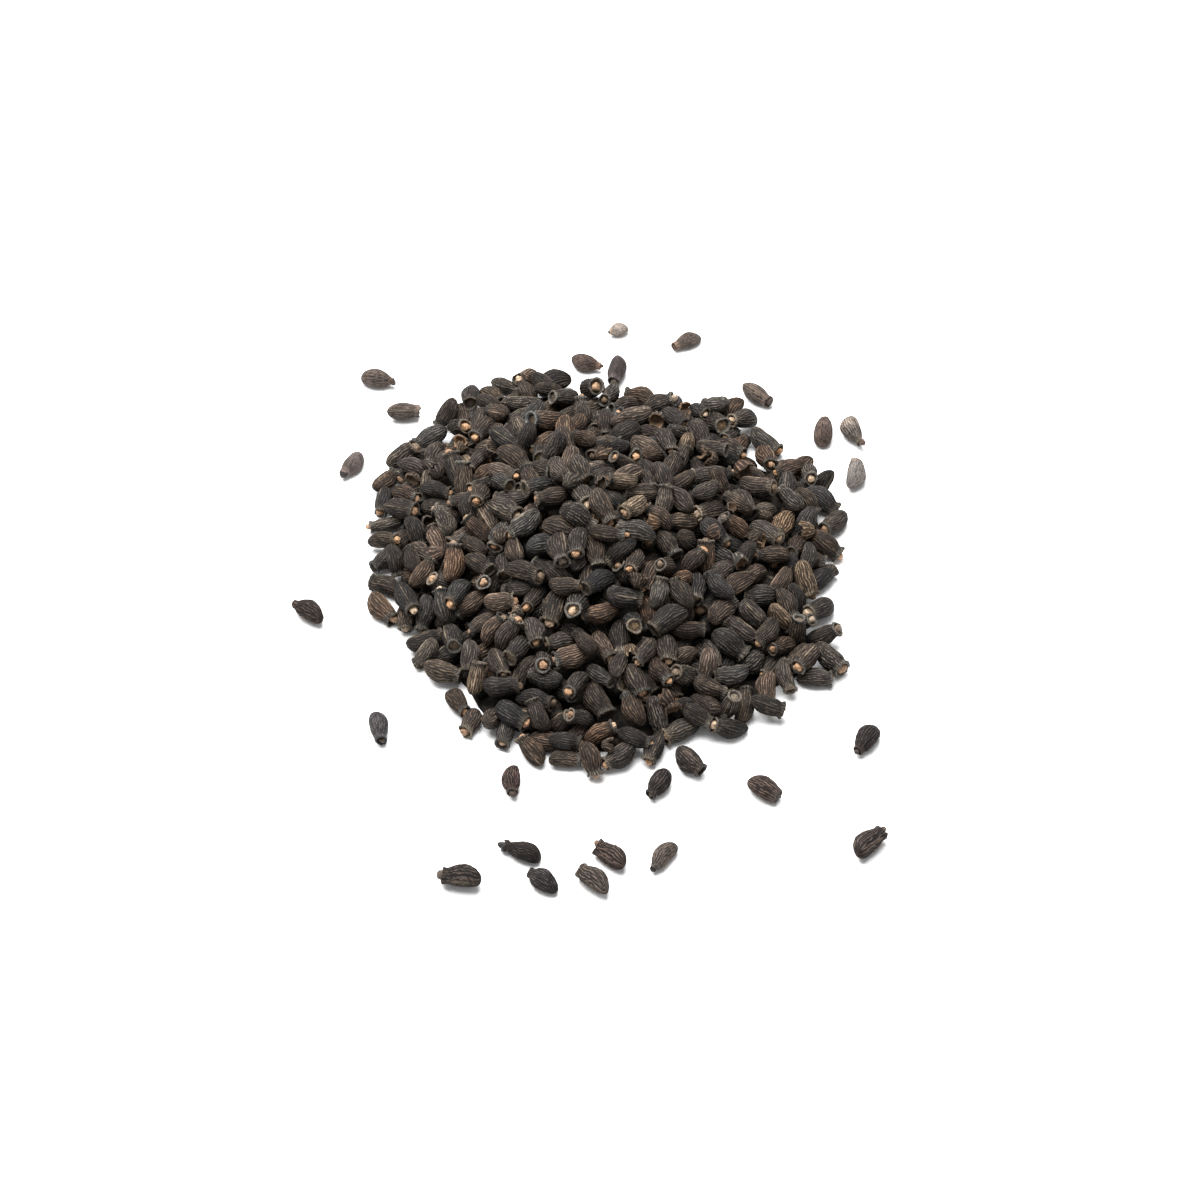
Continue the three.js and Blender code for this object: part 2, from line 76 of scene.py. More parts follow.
# each stray: where it lies, the way its collar points and its roll in degrees, its size, its looks, and how
# it differs from them
strayRows = [
    ((1.9, 45.1), -160, 0, 0.6, "bleached", {"tone": 1.5, "plug": (0.2, 0.18, 0.16), "plugGirth": 1.2,
     "plugOut": -0.03, "neck": 0.56, "ring": -1.2, "convex": 1, "ribbing": 0.2, "girth": 1.2,
     "dents": 0.4}),
    ((11.6, 42.9), -151, 20, 0.92, "olive", {"tone": 2.0, "ribbing": 0.4, "plug": (0.24, 0.12, 0.06),
     "neck": 0.62, "ring": 0, "collar": (0.085, 0.058, 0.043), "plugGirth": 1.3, "girth": 0.9,
     "convex": 0.8}),
    ((-2.9, 38.2), -20, 60, 0.93, "brown", {"tone": 2.2, "tear": 0, "ribbing": 0.6,
     "plug": (0.36, 0.18, 0.09), "plugGirth": 1.2, "neck": 0.5, "ring": -0.3, "convex": 0.8,
     "girth": 0.94}),
    ((1.8, 36.9), -101, -85, 1.06, "dark", {"tone": 1.8, "ribbing": 0.3, "plug": (0.4, 0.31, 0.23),
     "girth": 0.9, "neck": 0.7, "plugOut": 0.05, "plugGirth": 1.2, "ring": 0.2, "bluntness": 0.75}),
    ((-32.2, 35.2), -14, 10, 0.98, "olive", {"tone": 2.2, "ribbing": 0.6, "plug": (0.3, 0.23, 0.18),
     "neck": 0.52, "ring": -1, "plugGirth": 1.8, "convex": 1}),
    ((-28.3, 28.7), 2, -140, 0.92, "olive", {"tone": 1.9, "ribbing": 0.6, "keel": 1.2, "tear": 0.04,
     "plugged": 0, "neck": 0.78, "ring": 0.2}),
    ((21.1, 32.3), -43, -160, 1.0, "olive", {"tone": 2.1, "ribbing": 0.6, "keel": 1.2,
     "plug": (0.26, 0.18, 0.15), "plugOut": 0.04, "neck": 0.6, "ring": 0.2, "girth": 0.94,
     "bluntness": 0.8, "plugGirth": 1.5}),
    ((30.2, 25.0), -97, 0, 1.0, "brown", {"tone": 2.1, "plugGirth": 1.8, "neck": 0.66, "ring": -1.6,
     "ribbing": 0.5, "plug": (0.11, 0.08, 0.065), "broadest": 0.4, "bluntness": 0.45, "convex": 1,
     "endForEnd": True}),
    ((34.2, 25.0), -71, 60, 1.05, "bleached", {"tone": 1.5, "nose": (0.26, 0.21, 0.175),
     "hull": (0.12, 0.1, 0.085), "neck": 0.45, "ring": 0, "broadest": 0.36, "convex": 0.7,
     "plug": (0.5, 0.33, 0.25), "plugGirth": 2.0, "plugOut": 0.05, "ribbing": 0.7}),
    ((-34.7, 19.0), -123, -60, 0.95, "brown", {"tone": 2.5, "hull": (0.064, 0.053, 0.044), "ribbing": 0.4,
     "neck": 0.62, "ring": -0.7, "convex": 0.8, "girth": 0.94, "tear": 0, "plugGirth": 1.8,
     "plug": (0.09, 0.08, 0.08)}),
    ((34.3, 16.6), 79, 80, 0.96, "bleached", {"tone": 1.0, "hull": (0.2, 0.175, 0.16), "neck": 0.8,
     "ring": -0.5, "ribbing": 0.3, "plugGirth": 1.5, "plugOut": -0.05, "plug": (0.16, 0.14, 0.12),
     "girth": 1.12, "bluntness": 0.8, "convex": 0.8}),
    ((-39.2, -7.5), 149, 80, 1.0, "brown", {"tone": 2.2, "neck": 0.54, "ring": -0.5,
     "plug": (0.09, 0.075, 0.06), "plugGirth": 1.2, "keel": 0.3, "bluntness": 0.45, "convex": 0.9}),
    ((-29.1, -26.8), -80, -85, 0.98, "grey", {"tone": 1.6, "wear": 0.15, "hull": (0.052, 0.05, 0.05),
     "ribbing": 0.4, "plug": (0.34, 0.24, 0.16), "plugGirth": 0.9, "neck": 0.64, "ring": 0.5,
     "girth": 0.96}),
    ((-12.1, -35.3), -87, 50, 0.92, "brown", {"tone": 2.2, "wear": 0.12, "hull": (0.066, 0.045, 0.035),
     "neck": 0.6, "ring": 0.8, "plugGirth": 1.5, "plugOut": 0.03, "plug": (0.28, 0.19, 0.13)}),
    ((6.9, -35.9), -122, -50, 1.0, "grey", {"tone": 1.8, "plug": (0.42, 0.29, 0.19), "plugGirth": 0.8,
     "neck": 0.56, "girth": 0.95}),
    ((10.6, -32.5), -48, 175, 0.94, "olive", {"tone": 1.6, "wear": 0.05, "keel": 1.0, "plugged": 0,
     "neck": 0.68, "ring": 0.7, "girth": 1.04}),
    ((19.9, -36.6), -38, 0, 0.97, "brown", {"tone": 3.0, "wear": 0.12, "plugGirth": 1.7, "plugOut": -0.04,
     "plug": (0.1, 0.075, 0.06), "ring": -0.6, "tear": 0, "neck": 0.84}),
    ((33.4, -28.7), -122, 20, 1.0, "dark", {"tone": 2.8, "wear": 0.08, "plug": (0.16, 0.13, 0.1),
     "plugOut": 0.02, "neck": 0.52, "ring": 0.1, "broadest": 0.42, "convex": 0.8}),
    ((32.6, -45.4), 43, -120, 1.02, "brown", {"tone": 2.2, "wear": 0.08, "keel": 1.2, "tear": 0.05,
     "plug": (0.46, 0.31, 0.2), "plugOut": 0.06, "hull": (0.062, 0.048, 0.039), "neck": 0.7, "ring": 0.3}),
    ((7.0, -47.0), -124, 70, 1.0, "olive", {"tone": 2.3, "ribbing": 0.8, "wear": 0.3, "girth": 0.88,
     "bow": 0.5, "neck": 0.6, "ring": -1.2, "convex": 0.9, "broadest": 0.56, "plugGirth": 1.8,
     "plug": (0.09, 0.08, 0.07), "collar": (0.05, 0.043, 0.038)}),
    ((0.8, -47.2), 142, 115, 0.95, "brown", {"tone": 2.4, "wear": 0.1, "keel": 1.2, "tear": 0.05,
     "plug": (0.58, 0.34, 0.21), "plugGirth": 0.9, "plugOut": 0.07, "bluntness": 0.55, "ring": 0.4,
     "girth": 1.06}),
    ((-1.3, -51.0), 139, 85, 1.0, "olive", {"tone": 1.7, "wear": 0.15, "hull": (0.108, 0.088, 0.068),
     "plugged": 0, "neck": 0.66, "ring": 0.3, "keel": 0.9, "bluntness": 0.75, "ribbing": 0.8,
     "girth": 1.05, "convex": 0.7}),
    ((-7.8, -51.0), 142, 0, 0.92, "grey", {"tone": 1.6, "wear": 0.05, "hull": (0.06, 0.053, 0.049),
     "neck": 0.5, "ring": 0.1, "plugged": 0, "convex": 0.9}),
    ((-10.4, -46.4), 157, 20, 1.02, "dark", {"tone": 1.5, "girth": 0.94, "broadest": 0.32, "neck": 0.46,
     "tear": 0.05, "flare": 0.05, "ring": 0.8, "convex": 0.5, "plugOut": 0.12, "plug": (0.12, 0.11, 0.1),
     "plugGirth": 1.1, "ribbing": 1, "hull": (0.046, 0.035, 0.028)}),
    ((-17.9, -50.5), 177, 113, 1.02, "olive", {"tone": 1.2, "ribs": (16,), "ribbing": 1.6, "wear": 0.05,
     "keel": 1.2, "plug": (0.34, 0.26, 0.18), "plugOut": 0.06, "plugGirth": 1.1, "girth": 1.08,
     "broadest": 0.5, "neck": 0.7, "ring": 0.4}),
]
strays = [dict(zip(("at", "heading", "roll", "size", "looks", "but"), row)) for row in strayRows]


def rounded(value):
    # to the nearest thousandth, halves up
    return math.floor(value * 1000 + 0.5) / 1000


def blend(first, second, share):
    # first times (1 - share), plus second times share
    return first * (1 - share) + second * share


def repeatableDraws(start):
    # each number is 1664525 times the last plus 1013904223, kept below 2^32 and given as a share of it
    state = start
    while True:
        state = (state * 1664525 + 1013904223) % 2**32
        yield state / 2**32


def reach(angle):
    # reach of the heap in a direction: the outline's radii joined by half cosine waves
    radii = np.array(heap["outlineRadii"])
    count = len(radii)
    place = np.fmod(np.fmod(angle / (2 * np.pi) * count, count) + count, count)
    before = np.floor(place).astype(int)
    share = (1 - np.cos((place - before) * np.pi)) / 2
    return blend(radii[before % count], radii[(before + 1) % count], share)


def outwardness(x, y):
    # distance over reach, measured from a middle that slides to the summit as the point nears it
    lean = np.maximum(0, 1 - np.hypot(x, y) / reach(np.arctan2(y, x)))
    dx = x - heap["summit"][0] * lean
    dy = y - heap["summit"][1] * lean
    return np.hypot(dx, dy) / reach(np.arctan2(dy, dx))


def surfaceHeight(x, y):
    # (1 - out^1.5)^1.5 from the fringe up to the summit, and three crossing sine waves for the humps
    out = np.minimum(1, outwardness(x, y))
    rise = (1 - out**1.5) ** 1.5
    humps = np.sin(0.31 * x + 0.17 * y + 1) + np.sin(-0.19 * x + 0.36 * y + 2) + np.sin(0.43 * x - 0.29 * y)
    full = heap["height"] - heap["fringeHeight"]
    return heap["fringeHeight"] + full * rise + heap["unevenness"] / 2 * humps * (1 - out)


def bedHeight(x, y):
    # the wanted surface less the loose layers, and never under the floor
    return np.maximum(0, surfaceHeight(x, y) - heap["looseLayers"] * heap["layerDepth"])


def dropSites(draws):
    # a jittered triangular grid inside the outline, with the surface wanted at each place
    spacing = heap["siteSpacing"]
    rows = math.ceil(max(heap["outlineRadii"]) / spacing)
    sites = []
    for row in range(-rows, rows + 1):
        for column in range(-rows, rows + 1):
            shiftX, shiftY, shiftZ = (next(draws) - 0.5 for _ in range(3))
            x = (column + math.fmod(row, 2) / 2) * spacing + heap["siteJitter"] * shiftX
            y = row * spacing * 0.866 + heap["siteJitter"] * shiftY
            sites.append((x, y, heap["roughness"] * shiftZ))
    x, y, lift = np.array(sites).T
    inside = reach(np.arctan2(y, x)) - np.hypot(x, y) > seedSize["width"] / 2
    x, y, lift = x[inside], y[inside], lift[inside]
    return {"x": x, "y": y, "wanted": surfaceHeight(x, y) + lift, "top": bedHeight(x, y)}


def ballsOf(size, girth, poses):
    # for each pose (x, y, heading, tilt), the seed's balls: x, y, height over its middle, and radius
    x, y, heading, tilt = np.asarray(poses).T[..., None]
    shift = (bearings[:, 0] - 0.5) * seedSize["length"] * size
    radius = bearings[:, 1] * seedSize["width"] * girth / 2
    level = np.cos(tilt)
    ballX = x + shift * (level * np.cos(heading))
    ballY = y + shift * (level * np.sin(heading))
    return ballX, ballY, shift * np.sin(tilt), radius


def strayDistance(x, y):
    # distance to the middle line of the nearest stray
    nearest = np.full(np.shape(x), np.inf)
    for stray in strays:
        half = seedSize["length"] * stray["size"] / 2
        cos, sin = math.cos(math.radians(stray["heading"])), math.sin(math.radians(stray["heading"]))
        dx, dy = x - stray["at"][0], y - stray["at"][1]
        reached = np.clip(dx * cos + dy * sin, -half, half)
        nearest = np.minimum(nearest, np.hypot(dx - reached * cos, dy - reached * sin))
    return nearest


def rest(size, girth, poses, near):
    # height at which the seed's middle rests on bed and laid balls, how far it pokes out or crowds a stray,
    # and the height made dearer by that
    x, y, lift, radius = ballsOf(size, girth, poses)
    room = reach(np.arctan2(y, x)) - np.hypot(x, y)
    crowding = np.full(x.shape, -np.inf)
    atEdge = room < seedSize["length"]
    if atEdge.any():
        crowding[atEdge] = (heap["strayClearance"] + radius - strayDistance(x, y))[atEdge]
    overshoot = np.maximum(0, np.maximum(radius - room, crowding).max(1))
    height = np.maximum(0, (bedHeight(x, y) + radius - lift).max(1))
    if len(near):
        sums = radius[:, None] + near[:, 3]
        gap = sums**2 - (x[..., None] - near[:, 0]) ** 2 - (y[..., None] - near[:, 1]) ** 2
        touch = near[:, 2] + np.sqrt(np.maximum(gap, 0)) - lift[..., None]
        height = np.maximum(height, np.where(gap > 0, touch, 0).max((1, 2)))
    return height, overshoot, height + 2 * np.maximum(0, overshoot - heap["outlineSlack"])


def settle(size, girth, start, near):
    # step by step the seed takes the best of eight small shifts and turns, for as long as one lowers it
    best = np.array(start)
    lowest = rest(size, girth, [best], near)[2][0]
    for step in heap["settlingSteps"]:
        turn = heap["turnPerStep"] * step
        signs = np.repeat(np.eye(4), 2, 0) * np.tile([1, -1], 4)[:, None]
        poses = best + signs * (step, step, turn, turn)
        costs = rest(size, girth, poses, near)[2]
        for pose, cost in zip(poses, costs):
            if cost < lowest - 1e-4:
                lowest = cost
                best = pose
    pose = [rounded(value) for value in best]
    height, overshoot, _ = rest(size, girth, [pose], near)
    return pose, rounded(height[0] - heap["bedding"]), overshoot[0]


def between(low, high, share):
    return low + (high - low) * share


def layHeap():
    # seeds are laid where the heap is furthest below its wanted surface, until no place takes one more
    draws = repeatableDraws(heap["firstDraw"])
    sites = dropSites(draws)
    seeds = []
    balls = np.empty((0, 4))
    while True:
        place = int(np.argmax(sites["wanted"] - sites["top"]))
        if sites["wanted"][place] - sites["top"][place] < heap["dropGap"]:
            return seeds
        size = between(*heap["sizes"], next(draws))
        girth = size * between(*heap["plumpness"], next(draws))
        roll = rounded(2 * math.pi * next(draws))
        heading = 2 * math.pi * next(draws)
        tilt = heap["steepestTilt"] * (next(draws) + next(draws) - 1)
        siteX, siteY = sites["x"][place], sites["y"][place]
        near = balls[np.hypot(balls[:, 0] - siteX, balls[:, 1] - siteY) < 2 * seedSize["length"]]
        pose, z, overshoot = settle(size, girth, (siteX, siteY, heading, tilt), near)
        perch = z + seedSize["width"] / 2 - surfaceHeight(pose[0], pose[1])
        if perch > heap["highestPerch"] or overshoot > heap["outlineSlack"]:
            sites["wanted"][place] -= heap["layerDepth"] / 2
            continue
        seeds.append({"at": (pose[0], pose[1], z), "heading": pose[2], "tilt": pose[3], "roll": roll,
                      "size": size, "girth": girth})
        x, y, lift, radius = ballsOf(size, girth, [pose])
        laid = np.stack([x[0], y[0], z + lift[0], radius], 1)
        balls = np.concatenate([balls, laid])
        gap = laid[:, 3:] ** 2 - (sites["x"] - laid[:, :1]) ** 2 - (sites["y"] - laid[:, 1:2]) ** 2
        tops = np.where(gap > 0, laid[:, 2:3] + np.sqrt(np.maximum(gap, 0)), 0).max(0)
        sites["top"] = np.maximum(sites["top"], tops)


showing = {
    "cell": 0.5,            # of the grids that tell which seeds show
    "elevations": (12, 38, 62),
    "azimuths": 10,
    "least": 3.0,           # a seed that shows less than this from every side is left out, in square mm
}


def mostShown(seeds):
    # from many directions, the topmost ball of every grid cell is found, and each seed's cells are counted
    poses = np.array([(*seed["at"][:2], seed["heading"], seed["tilt"]) for seed in seeds])
    sizes = np.array([(seed["size"], seed["girth"]) for seed in seeds])
    x, y, lift, radius = ballsOf(sizes[:, :1], sizes[:, 1:], poses)
    z = np.array([seed["at"][2] for seed in seeds])[:, None] + lift
    middles = np.stack([x, y, z], -1).reshape(-1, 3)
    radius = radius.reshape(-1, 1)
    owner = np.repeat(np.arange(len(seeds)), len(bearings))
    cell = showing["cell"]
    span = int(radius.max() / cell) + 1
    offsets = np.stack(np.meshgrid(*[np.arange(-span, span + 1)] * 2), -1).reshape(1, -1, 2)
    most = np.zeros(len(seeds))
    views = [(0, 90)] + [(360 * i / showing["azimuths"], e) for i in range(showing["azimuths"])
                         for e in showing["elevations"]]
    for azimuth, elevation in views:
        a, e = math.radians(azimuth), math.radians(elevation)
        right = np.array([math.cos(a), math.sin(a), 0])
        towards = np.array([math.sin(a) * math.cos(e), -math.cos(a) * math.cos(e), math.sin(e)])
        flat = np.stack([middles @ right, middles @ np.cross(towards, right)], -1)
        cells = np.round(flat / cell).astype(int)[:, None] + offsets
        gap = radius**2 - ((cells * cell - flat[:, None]) ** 2).sum(-1)
        depth = (middles @ towards)[:, None] + np.sqrt(np.maximum(gap, 0))
        key = (cells[..., 0] - cells[..., 0].min()) * 1000 + cells[..., 1] - cells[..., 1].min()
        inside = gap > 0
        nearest = np.full(key.max() + 1, -np.inf)
        np.maximum.at(nearest, key[inside], depth[inside])
        seen = inside & (depth >= nearest[key])
        owners = np.broadcast_to(owner[:, None], seen.shape)[seen]
        most = np.maximum(most, np.bincount(owners, minlength=len(seeds)) * cell**2)
    return most


# The form of a seed
seedForm = {
    "neckPlace": 0.89,      # places run from the nose at 0 to the lip at 1
    "bodyRings": 10,
    "noseDrop": 0.42,       # how far the nose lies towards the straight belly, as a share of the half depth
    "neckDrop": 0.14,
    "crest": 0.026,         # height of a rib and depth of a groove, as shares of the half width
    "groove": 0.046,
    "wander": 0.28,         # how far a rib strays sideways, as a share of the ribs' spacing
    "knots": 12,            # a rib runs smoothly between this many places
    "keel": 0.1,
    "usualLip": 0.825,      # the lip's girth, for which the cup and the plug are given
    "collarRibs": 0.35,     # how much of the ribs goes on over the collar
    "notch": 0.007,         # how far the lip is notched where ribs end
    "dents": ((0.04, 2, 3), (0.025, 3, -4), (0.035, 0, 5.5)),   # depth, waves round the seed, and twist
}

# the collar, its cup and what fills it: place, and the girth that is added to the neck's or the lip's,
# or for the last two the girth itself
collarRings = np.array([(0.91, 0.01), (0.93, 0.08), (0.96, 0.14), (0.995, 0.125)])
cupRings = np.array([(1.015, -0.105), (1.0, -0.225), (0.93, -0.305)])
plugRings = np.array([(0.88, 0.36), (0.97, 0.41), (1.03, 0.37), (1.07, 0.22)])
floorRings = np.array([(0.91, 0.44), (0.925, 0.38), (0.935, 0.26), (0.93, 0.12)])


def eased(value):
    # half a cosine wave from 0 to 1
    return (1 - np.cos(np.clip(value, 0, 1) * np.pi)) / 2


def bodyGirth(place, build):
    # a blunt point at the nose, (1 - (1 - s)^1.9)^bluntness, and down to the neck a shoulder of half a
    # cosine wave, or a convex taper, t^2.2, or something between them
    nose = (1 - (1 - np.clip(place / build["broadest"], 0, 1)) ** 1.9) ** build["bluntness"]
    toNeck = np.clip((place - build["broadest"]) / (seedForm["neckPlace"] - build["broadest"]), 0, 1)
    fall = (1 - build["convex"]) * eased(toNeck ** build["shoulder"]) + build["convex"] * toNeck**2.2
    return nose * (1 - (1 - build["neck"]) * fall)


def bellyDrop(place, build):
    # how far a section's middle drops towards the belly: most at the nose, none at the broadest place
    before = np.clip(1 - place / build["broadest"], 0, 1) ** 1.5
    after = eased((place - build["broadest"]) / (seedForm["neckPlace"] - build["broadest"]))
    return seedForm["noseDrop"] * before + seedForm["neckDrop"] * after


def smoothRandom(random, place, lines):
    # for each line, random values at even places, joined by half cosine waves
    values = random.normal(0, 1, (seedForm["knots"] + 3, lines))
    at = np.clip(place, 0, 1.1) * seedForm["knots"]
    before = np.floor(at).astype(int)
    share = eased(at - before)
    before = before[:, 0]
    return blend(values[before], values[before + 1], share)


def ribbed(random, look, place, ribs, perRib):
    # crests wander, and each groove keeps midway between its crests and is shallower where they meet. Gives
    # each column's angle and relief, and its ridge, from 0 in a groove to 1 on a crest.
    wander = seedForm["wander"] * np.tanh(smoothRandom(random, place, ribs)) * eased(place / 0.15)
    wander[:, ribs // 2] *= 0.3
    crestAt = np.arange(ribs) + wander
    width = np.roll(crestAt, -1, 1) - crestAt
    width[:, -1] += ribs
    part = np.arange(perRib) / perRib
    crestShare = ((1 + np.cos(2 * np.pi * part)) / 2) ** 0.8
    angle = (crestAt[..., None] + width[..., None] * part) * (2 * np.pi / ribs)
    warts = smoothRandom(random, place, ribs)
    crest = seedForm["crest"] * np.clip(1 + 0.6 * warts, 0, 2.2)
    crest = blend(crest[..., None], np.roll(crest, -1, 1)[..., None], part)
    groove = seedForm["groove"] * np.clip(width, 0.2, 1.3)[..., None] ** 1.3
    relief = look["ribbing"] * (crest * crestShare - groove * (1 - crestShare))
    worn = np.clip(0.86 + 0.2 * warts, 0.3, 1)[..., None]
    ridge = (1 - (1 - crestShare) * np.clip(width, 0.3, 1)[..., None]) * worn
    return tuple(field.reshape(len(place), -1) for field in (angle, relief, ridge))


flats = {"sides": 3, "deepest": 0.86, "shallowest": 1.05, "leaning": 0.12, "fullness": 1.03}


def pressed(random, angle, along):
    # flat sides: the section keeps inside a few leaning planes, by (1 + sum of limit^-8)^(-1/8)
    crowding = 1.0
    for _ in range(flats["sides"]):
        side = random.uniform(0, 2 * np.pi)
        depth = random.uniform(flats["deepest"], flats["shallowest"])
        slope = random.normal(0, flats["leaning"])
        limit = (depth + slope * (along - 0.5)) / np.maximum(np.cos(angle - side), 0.2)
        crowding = crowding + limit**-8
    return flats["fullness"] * crowding ** (-1 / 8)


smoothRidge = 0.65      # the ridge's value where a seed has no ribs


def seedSurface(random, look, fineness):
    # rings of points from the nose over the lip, down into the cup and over the plug, in shares of the size
    plugged = random.random() < look["plugged"]
    build = {"broadest": random.uniform(0.42, 0.54), "bluntness": random.uniform(0.44, 0.66),
             "shoulder": random.uniform(1.2, 2.4), "convex": random.uniform(0, 0.6)} | look
    build["neck"] += random.normal(0, 0.03)
    count = seedForm["bodyRings"] * fineness
    body = seedForm["neckPlace"] * eased((np.arange(1, count + 1) / (count + 1)) ** 0.92)
    inner = (plugRings if plugged else floorRings).copy()
    if plugged:
        out = random.normal(look["plugOut"], 0.03)
        inner[1:, 0] += out * np.array([0.4, 0.8, 1])
        inner[:, 1] *= look["plugGirth"] * random.uniform(0.8, 1.12)
    place = np.concatenate([body, collarRings[:, 0], cupRings[:, 0], inner[:, 0]])[:, None]
    collar = build["neck"] + collarRings[:, 1] * look["ring"]
    lip = collar[-1] / seedForm["usualLip"]
    cup = collar[-1] + cupRings[:, 1] * lip
    girth = np.concatenate([bodyGirth(body, build), collar, cup, inner[:, 1] * lip])[:, None]
    zone = np.repeat([0, 1, 2, 3], [len(body), len(collarRings), len(cupRings), len(inner)])[:, None]
    along = np.clip(place, 0, 1)

    ribs, perRib = int(random.choice(look["ribs"])), 2
    angle, relief, ridge = ribbed(random, look, place, ribs, perRib)
    fading = 1 - (1 - seedForm["collarRibs"]) * eased((place - 0.82) / 0.08)
    strength = np.where(zone < 2, np.clip(place / 0.1, 0, 1) ** 0.7 * fading, 0)
    relief = relief * strength
    sharpness = np.clip(strength * 1.3, 0, 1) * min(1.3, look["ribbing"])
    ridge = look["wear"] + smoothRidge + (ridge - smoothRidge) * sharpness

    # the keel runs down the middle of the belly, at half a turn
    keel = np.exp(-(((angle - np.pi) * ribs / (2 * np.pi) / 0.55) ** 2))
    keel = keel * look["keel"] * np.where(zone == 0, np.sin(np.pi * np.clip(place / 0.92, 0, 1)) ** 0.4, 0)
    relief = relief + seedForm["keel"] * keel
    ridge = np.maximum(ridge, keel)

    # slow dents and swellings, and flats where neighbours pressed
    turns = random.uniform(0, 2 * np.pi, 6)
    uneven = sum(depth * np.sin(around * angle + turn + twist * along)
                 for (depth, around, twist), turn in zip(seedForm["dents"], turns))
    dented = (1 + look["dents"] * uneven) * pressed(random, angle, along)
    radius = girth * np.where(zone == 3, 1 + 0.6 * uneven, dented) + relief

    # the lip leans, is notched where ribs end, and is drawn out into points where it is torn
    rim = np.clip((place - 0.9) / 0.1, 0, 1) * np.isin(zone, [1, 2])
    notches = np.repeat(random.normal(0, 1, ribs), perRib)
    torn = np.maximum(0, np.sin(2 * angle + turns[3])) ** 3
    torn = torn + 0.6 * np.maximum(0, np.sin(3 * angle + turns[4])) ** 4
    lean = random.normal(0, 0.02) * np.cos(angle - turns[5])
    notching = seedForm["notch"] * (1 + 8 * look["tear"])
    place = place + rim * (lean + look["tear"] * torn + notching * notches)
    radius = radius * (1 + rim * (look["flare"] + 0.03 * np.sin(2 * angle + turns[4]) + 0.01 * notches))

    # the plug is lumpy and leans out of the cup
    lumps = 0.11 * np.sin(3 * angle + turns[0] + 11 * place) + 0.07 * np.sin(5 * angle - 17 * place)
    radius = radius * np.where(zone == 3, 1 + lumps * (1 if plugged else 0.3), 1)
    leaning = np.where(zone == 3, np.clip((place - 0.88) / 0.18, 0, 1.4), 0) * (1 if plugged else 0)
    plugLean = random.normal(0, 0.08, 2)

    # the section's middle drops towards the belly, and the whole seed bows a little
    bowing = random.normal(0, look["bow"], 2) * ((np.clip(place, 0, 1.1)[..., None] - 0.5) ** 2 - 0.08)
    across = -radius * np.sin(angle) + leaning * plugLean[0] + bowing[..., 0]
    up = radius * np.cos(angle) - bellyDrop(np.clip(place, 0, 0.95), build)
    up = up + leaning * plugLean[1] - bowing[..., 1]
    points = np.stack([place - 0.5, across, up], -1)
    nose = points[0].mean(0) - (0.012, 0, 0)
    tip = points[-1].mean(0) + (0.01 if plugged else 0.0, 0, 0)
    shades = {
        "ridge": np.concatenate([[smoothRidge], ridge.ravel(), [smoothRidge]]),
        "keel": np.concatenate([[0], keel.ravel(), [0]]),
        "zone": np.concatenate([[0], np.broadcast_to(zone, ridge.shape).ravel(), [3]]),
        "place": np.concatenate([[0], place.ravel(), [1.07]]),
    }
    return np.concatenate([[nose], points.reshape(-1, 3), [tip]]), shades, ridge.shape, plugged


def gridFaces(rings, columns, zone):
    # quads between neighbouring rings, and a fan of triangles round the nose and round the tip
    here = 1 + np.arange(rings * columns).reshape(rings, columns)
    right = np.roll(here, -1, 1)
    quads = np.stack([here[:-1], right[:-1], right[1:], here[1:]], -1).reshape(-1, 4)
    last = rings * columns + 1
    noseFan = np.stack([np.zeros(columns, int), right[0], here[0]], -1)
    tipFan = np.stack([here[-1], right[-1], np.full(columns, last)], -1)
    zones = np.maximum(zone[quads[:, 0]], zone[quads[:, 2]])
    return quads, np.concatenate([noseFan, tipFan]), zones, np.repeat(zone[[0, last]], columns)


def turned(points, roll, tilt, heading):
    # turns about the length by the roll, lifts the collar by the tilt, then turns about the upright
    x, y, z = points.T
    y, z = y * math.cos(roll) - z * math.sin(roll), y * math.sin(roll) + z * math.cos(roll)
    x, z = x * math.cos(tilt) - z * math.sin(tilt), x * math.sin(tilt) + z * math.cos(tilt)
    x, y = x * math.cos(heading) - y * math.sin(heading), x * math.sin(heading) + y * math.cos(heading)
    return np.stack([x, y, z], 1)


# what every kind of seed has unless it says otherwise, and its hull's finish. Colours are linear.
plain = {"hull": (0.046, 0.037, 0.031), "collar": (0.07, 0.06, 0.049), "spread": 0.34,
         "ribs": (20, 22, 24), "ribbing": 1.0, "keel": 0.6, "dents": 1.0, "bow": 0.1, "girth": 1.0,
         "neck": 0.7, "flare": 0.0, "tear": 0.006, "plugged": 0.85, "plugOut": 0.0, "plugGirth": 1.0,
         "tone": 0.88, "wear": 0.0, "ring": 1.0,
         "dustiness": 0.4, "dust": (0.16, 0.13, 0.104), "roughness": 0.66}

